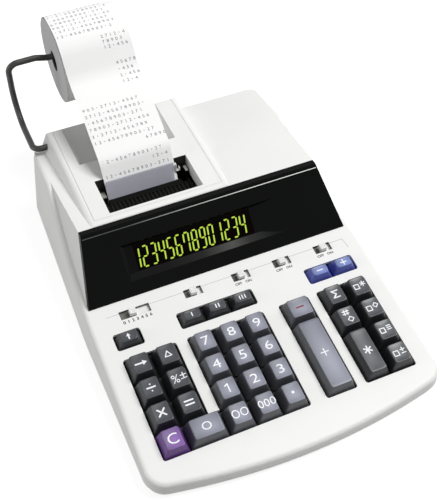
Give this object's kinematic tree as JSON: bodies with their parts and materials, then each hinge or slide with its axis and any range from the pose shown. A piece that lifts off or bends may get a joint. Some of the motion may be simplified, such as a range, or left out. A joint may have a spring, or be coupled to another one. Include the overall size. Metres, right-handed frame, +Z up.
{
  "type": "printing_calculator",
  "caption": "Desktop printing calculator with a sloping keyboard, a recessed digital display, a printer hump and a paper roll on a bent rod behind it",
  "frame": {"origin": "On the table plane under the middle of the whole machine with its paper roll", "axes": "+X to the user's right, +Y to the rear, +Z up"},
  "size_m": [0.225, 0.3849, 0.1489],
  "materials": {
    "case_white": "fine satin off-white moulding",
    "key_grey": "satin blue-grey key",
    "key_dark": "satin charcoal key",
    "key_blue": "satin blue key",
    "key_purple": "satin purple key",
    "gloss_black": "polished black",
    "display_glass": "dark display glass",
    "black_plastic": "plain black moulding",
    "board_green": "lacquered circuit board",
    "steel": "plated steel",
    "rubber": "matte black rubber",
    "smoke_clear": "smoked clear plastic",
    "arm_black": "black coated rod",
    "paper": "plain white adding paper"
  },
  "bodies": {
    "root": {"upper_case": "case_white", "lower_case": "case_white", "case_screws": "steel", "rubber_feet": "rubber", "display_bezel": "gloss_black", "display_tube": "display_glass", "printer_cover": "case_white", "key_frame": "black_plastic", "circuit_boards": "board_green", "printer_motor": "steel", "printer_frame": "black_plastic", "tear_bar": "smoke_clear", "paper_tape": "paper"},
    "key_7": {"key_7": "key_grey"},
    "key_8": {"key_8": "key_grey"},
    "key_9": {"key_9": "key_grey"},
    "key_4": {"key_4": "key_grey"},
    "key_5": {"key_5": "key_grey"},
    "key_6": {"key_6": "key_grey"},
    "key_1": {"key_1": "key_grey"},
    "key_2": {"key_2": "key_grey"},
    "key_3": {"key_3": "key_grey"},
    "key_double_zero": {"key_double_zero": "key_grey"},
    "key_triple_zero": {"key_triple_zero": "key_grey"},
    "key_point": {"key_point": "key_grey"},
    "key_right_shift": {"key_right_shift": "key_dark"},
    "key_change": {"key_change": "key_dark"},
    "key_divide": {"key_divide": "key_dark"},
    "key_percent": {"key_percent": "key_dark"},
    "key_multiply": {"key_multiply": "key_dark"},
    "key_equals": {"key_equals": "key_dark"},
    "key_clear": {"key_clear": "key_purple"},
    "key_0": {"key_0": "key_grey"},
    "key_minus": {"key_minus": "key_grey"},
    "key_plus": {"key_plus": "key_grey"},
    "key_grand_total": {"key_grand_total": "key_dark"},
    "key_memory_total": {"key_memory_total": "key_dark"},
    "key_number_sign": {"key_number_sign": "key_dark"},
    "key_memory_diamond": {"key_memory_diamond": "key_dark"},
    "key_memory_equals": {"key_memory_equals": "key_dark"},
    "key_memory_plus_minus": {"key_memory_plus_minus": "key_dark"},
    "key_total": {"key_total": "key_dark"},
    "key_paper_feed": {"key_paper_feed": "key_dark"},
    "key_cost": {"key_cost": "key_dark"},
    "key_sell": {"key_sell": "key_dark"},
    "key_margin": {"key_margin": "key_dark"},
    "key_tax_less": {"key_tax_less": "key_blue"},
    "key_tax_more": {"key_tax_more": "key_blue"},
    "switch_decimal": {"switch_decimal": "case_white"},
    "switch_rounding": {"switch_rounding": "case_white"},
    "switch_total": {"switch_total": "case_white"},
    "switch_item": {"switch_item": "case_white"},
    "switch_print": {"switch_print": "case_white"},
    "arm": {"paper_arm": "arm_black"},
    "roll": {"paper_roll": "paper"},
    "platen": {"platen_roller": "rubber"},
    "pinion": {"drive_pinion": "black_plastic"},
    "carriage": {"print_carriage": "black_plastic"},
    "spool_left": {"ribbon_spool_left": "black_plastic"},
    "spool_right": {"ribbon_spool_right": "black_plastic"}
  },
  "joints": [
    {"name": "arm_swing", "type": "hinge", "parent": "root", "child": "arm", "pos_m": [-0.0885, 0.10798, 0.0708], "axis": [1, 0, 0], "range_deg": [0, 60], "deforming": ["paper_tape"]},
    {"name": "roll_spin", "type": "hinge", "parent": "arm", "child": "roll", "pos_m": [-0.0325, 0.15798, 0.113], "axis": [1, 0, 0], "continuous": true},
    {"name": "pinion_turn", "type": "hinge", "parent": "root", "child": "pinion", "pos_m": [0.001, 0.04874, 0.03843], "axis": [1, 0, 0], "continuous": true},
    {"name": "platen_turn", "type": "hinge", "parent": "root", "child": "platen", "pos_m": [-0.0325, 0.03562, 0.046], "axis": [1, 0, 0], "continuous": true},
    {"name": "carriage_travel", "type": "slide", "parent": "root", "child": "carriage", "axis": [1, 0, 0], "range_m": [0, 0.045]},
    {"name": "spool_left_turn", "type": "hinge", "parent": "root", "child": "spool_left", "pos_m": [-0.08, 0.02298, 0.049], "axis": [0, 0, 1], "continuous": true},
    {"name": "spool_right_turn", "type": "hinge", "parent": "root", "child": "spool_right", "pos_m": [0.02, 0.02298, 0.049], "axis": [0, 0, 1], "continuous": true},
    {"name": "slide_decimal", "type": "slide", "parent": "root", "child": "switch_decimal", "axis": [1, 0, 0], "range_m": [-0.0054, 0.009]},
    {"name": "slide_rounding", "type": "slide", "parent": "root", "child": "switch_rounding", "axis": [1, 0, 0], "range_m": [-0.0035, 0.0035]},
    {"name": "slide_total", "type": "slide", "parent": "root", "child": "switch_total", "axis": [1, 0, 0], "range_m": [-0.0035, 0.0035]},
    {"name": "slide_item", "type": "slide", "parent": "root", "child": "switch_item", "axis": [1, 0, 0], "range_m": [-0.0035, 0.0035]},
    {"name": "slide_print", "type": "slide", "parent": "root", "child": "switch_print", "axis": [1, 0, 0], "range_m": [-0.0035, 0.0035]},
    {"name": "press_7", "type": "slide", "parent": "root", "child": "key_7", "axis": [0, 0.1392, -0.9903], "range_m": [0, 0.003], "stiffness_N_per_m": 150, "springref_m": -0.001},
    {"name": "press_8", "type": "slide", "parent": "root", "child": "key_8", "axis": [0, 0.1392, -0.9903], "range_m": [0, 0.003], "stiffness_N_per_m": 150, "springref_m": -0.001},
    {"name": "press_9", "type": "slide", "parent": "root", "child": "key_9", "axis": [0, 0.1392, -0.9903], "range_m": [0, 0.003], "stiffness_N_per_m": 150, "springref_m": -0.001},
    {"name": "press_4", "type": "slide", "parent": "root", "child": "key_4", "axis": [0, 0.1392, -0.9903], "range_m": [0, 0.003], "stiffness_N_per_m": 150, "springref_m": -0.001},
    {"name": "press_5", "type": "slide", "parent": "root", "child": "key_5", "axis": [0, 0.1392, -0.9903], "range_m": [0, 0.003], "stiffness_N_per_m": 150, "springref_m": -0.001},
    {"name": "press_6", "type": "slide", "parent": "root", "child": "key_6", "axis": [0, 0.1392, -0.9903], "range_m": [0, 0.003], "stiffness_N_per_m": 150, "springref_m": -0.001},
    {"name": "press_1", "type": "slide", "parent": "root", "child": "key_1", "axis": [0, 0.1392, -0.9903], "range_m": [0, 0.003], "stiffness_N_per_m": 150, "springref_m": -0.001},
    {"name": "press_2", "type": "slide", "parent": "root", "child": "key_2", "axis": [0, 0.1392, -0.9903], "range_m": [0, 0.003], "stiffness_N_per_m": 150, "springref_m": -0.001},
    {"name": "press_3", "type": "slide", "parent": "root", "child": "key_3", "axis": [0, 0.1392, -0.9903], "range_m": [0, 0.003], "stiffness_N_per_m": 150, "springref_m": -0.001},
    {"name": "press_double_zero", "type": "slide", "parent": "root", "child": "key_double_zero", "axis": [0, 0.1392, -0.9903], "range_m": [0, 0.003], "stiffness_N_per_m": 150, "springref_m": -0.001},
    {"name": "press_triple_zero", "type": "slide", "parent": "root", "child": "key_triple_zero", "axis": [0, 0.1392, -0.9903], "range_m": [0, 0.003], "stiffness_N_per_m": 150, "springref_m": -0.001},
    {"name": "press_point", "type": "slide", "parent": "root", "child": "key_point", "axis": [0, 0.1392, -0.9903], "range_m": [0, 0.003], "stiffness_N_per_m": 150, "springref_m": -0.001},
    {"name": "press_right_shift", "type": "slide", "parent": "root", "child": "key_right_shift", "axis": [0, 0.1392, -0.9903], "range_m": [0, 0.003], "stiffness_N_per_m": 150, "springref_m": -0.001},
    {"name": "press_change", "type": "slide", "parent": "root", "child": "key_change", "axis": [0, 0.1392, -0.9903], "range_m": [0, 0.003], "stiffness_N_per_m": 150, "springref_m": -0.001},
    {"name": "press_divide", "type": "slide", "parent": "root", "child": "key_divide", "axis": [0, 0.1392, -0.9903], "range_m": [0, 0.003], "stiffness_N_per_m": 150, "springref_m": -0.001},
    {"name": "press_percent", "type": "slide", "parent": "root", "child": "key_percent", "axis": [0, 0.1392, -0.9903], "range_m": [0, 0.003], "stiffness_N_per_m": 150, "springref_m": -0.001},
    {"name": "press_multiply", "type": "slide", "parent": "root", "child": "key_multiply", "axis": [0, 0.1392, -0.9903], "range_m": [0, 0.003], "stiffness_N_per_m": 150, "springref_m": -0.001},
    {"name": "press_equals", "type": "slide", "parent": "root", "child": "key_equals", "axis": [0, 0.1392, -0.9903], "range_m": [0, 0.003], "stiffness_N_per_m": 150, "springref_m": -0.001},
    {"name": "press_clear", "type": "slide", "parent": "root", "child": "key_clear", "axis": [0, 0.1392, -0.9903], "range_m": [0, 0.003], "stiffness_N_per_m": 150, "springref_m": -0.001},
    {"name": "press_0", "type": "slide", "parent": "root", "child": "key_0", "axis": [0, 0.1392, -0.9903], "range_m": [0, 0.003], "stiffness_N_per_m": 150, "springref_m": -0.001},
    {"name": "press_minus", "type": "slide", "parent": "root", "child": "key_minus", "axis": [0, 0.1392, -0.9903], "range_m": [0, 0.003], "stiffness_N_per_m": 150, "springref_m": -0.001},
    {"name": "press_plus", "type": "slide", "parent": "root", "child": "key_plus", "axis": [0, 0.1392, -0.9903], "range_m": [0, 0.003], "stiffness_N_per_m": 150, "springref_m": -0.001},
    {"name": "press_grand_total", "type": "slide", "parent": "root", "child": "key_grand_total", "axis": [0, 0.1392, -0.9903], "range_m": [0, 0.003], "stiffness_N_per_m": 150, "springref_m": -0.001},
    {"name": "press_memory_total", "type": "slide", "parent": "root", "child": "key_memory_total", "axis": [0, 0.1392, -0.9903], "range_m": [0, 0.003], "stiffness_N_per_m": 150, "springref_m": -0.001},
    {"name": "press_number_sign", "type": "slide", "parent": "root", "child": "key_number_sign", "axis": [0, 0.1392, -0.9903], "range_m": [0, 0.003], "stiffness_N_per_m": 150, "springref_m": -0.001},
    {"name": "press_memory_diamond", "type": "slide", "parent": "root", "child": "key_memory_diamond", "axis": [0, 0.1392, -0.9903], "range_m": [0, 0.003], "stiffness_N_per_m": 150, "springref_m": -0.001},
    {"name": "press_memory_equals", "type": "slide", "parent": "root", "child": "key_memory_equals", "axis": [0, 0.1392, -0.9903], "range_m": [0, 0.003], "stiffness_N_per_m": 150, "springref_m": -0.001},
    {"name": "press_memory_plus_minus", "type": "slide", "parent": "root", "child": "key_memory_plus_minus", "axis": [0, 0.1392, -0.9903], "range_m": [0, 0.003], "stiffness_N_per_m": 150, "springref_m": -0.001},
    {"name": "press_total", "type": "slide", "parent": "root", "child": "key_total", "axis": [0, 0.1392, -0.9903], "range_m": [0, 0.003], "stiffness_N_per_m": 150, "springref_m": -0.001},
    {"name": "press_paper_feed", "type": "slide", "parent": "root", "child": "key_paper_feed", "axis": [0, 0.1392, -0.9903], "range_m": [0, 0.003], "stiffness_N_per_m": 150, "springref_m": -0.001},
    {"name": "press_cost", "type": "slide", "parent": "root", "child": "key_cost", "axis": [0, 0.1392, -0.9903], "range_m": [0, 0.003], "stiffness_N_per_m": 150, "springref_m": -0.001},
    {"name": "press_sell", "type": "slide", "parent": "root", "child": "key_sell", "axis": [0, 0.1392, -0.9903], "range_m": [0, 0.003], "stiffness_N_per_m": 150, "springref_m": -0.001},
    {"name": "press_margin", "type": "slide", "parent": "root", "child": "key_margin", "axis": [0, 0.1392, -0.9903], "range_m": [0, 0.003], "stiffness_N_per_m": 150, "springref_m": -0.001},
    {"name": "press_tax_less", "type": "slide", "parent": "root", "child": "key_tax_less", "axis": [0, 0.1392, -0.9903], "range_m": [0, 0.003], "stiffness_N_per_m": 150, "springref_m": -0.001},
    {"name": "press_tax_more", "type": "slide", "parent": "root", "child": "key_tax_more", "axis": [0, 0.1392, -0.9903], "range_m": [0, 0.003], "stiffness_N_per_m": 150, "springref_m": -0.001}
  ],
  "couplings": [
    {"joint": "platen_turn", "follows": "pinion_turn", "ratio": -0.5},
    {"joint": "spool_right_turn", "follows": "spool_left_turn", "ratio": 1}
  ]
}
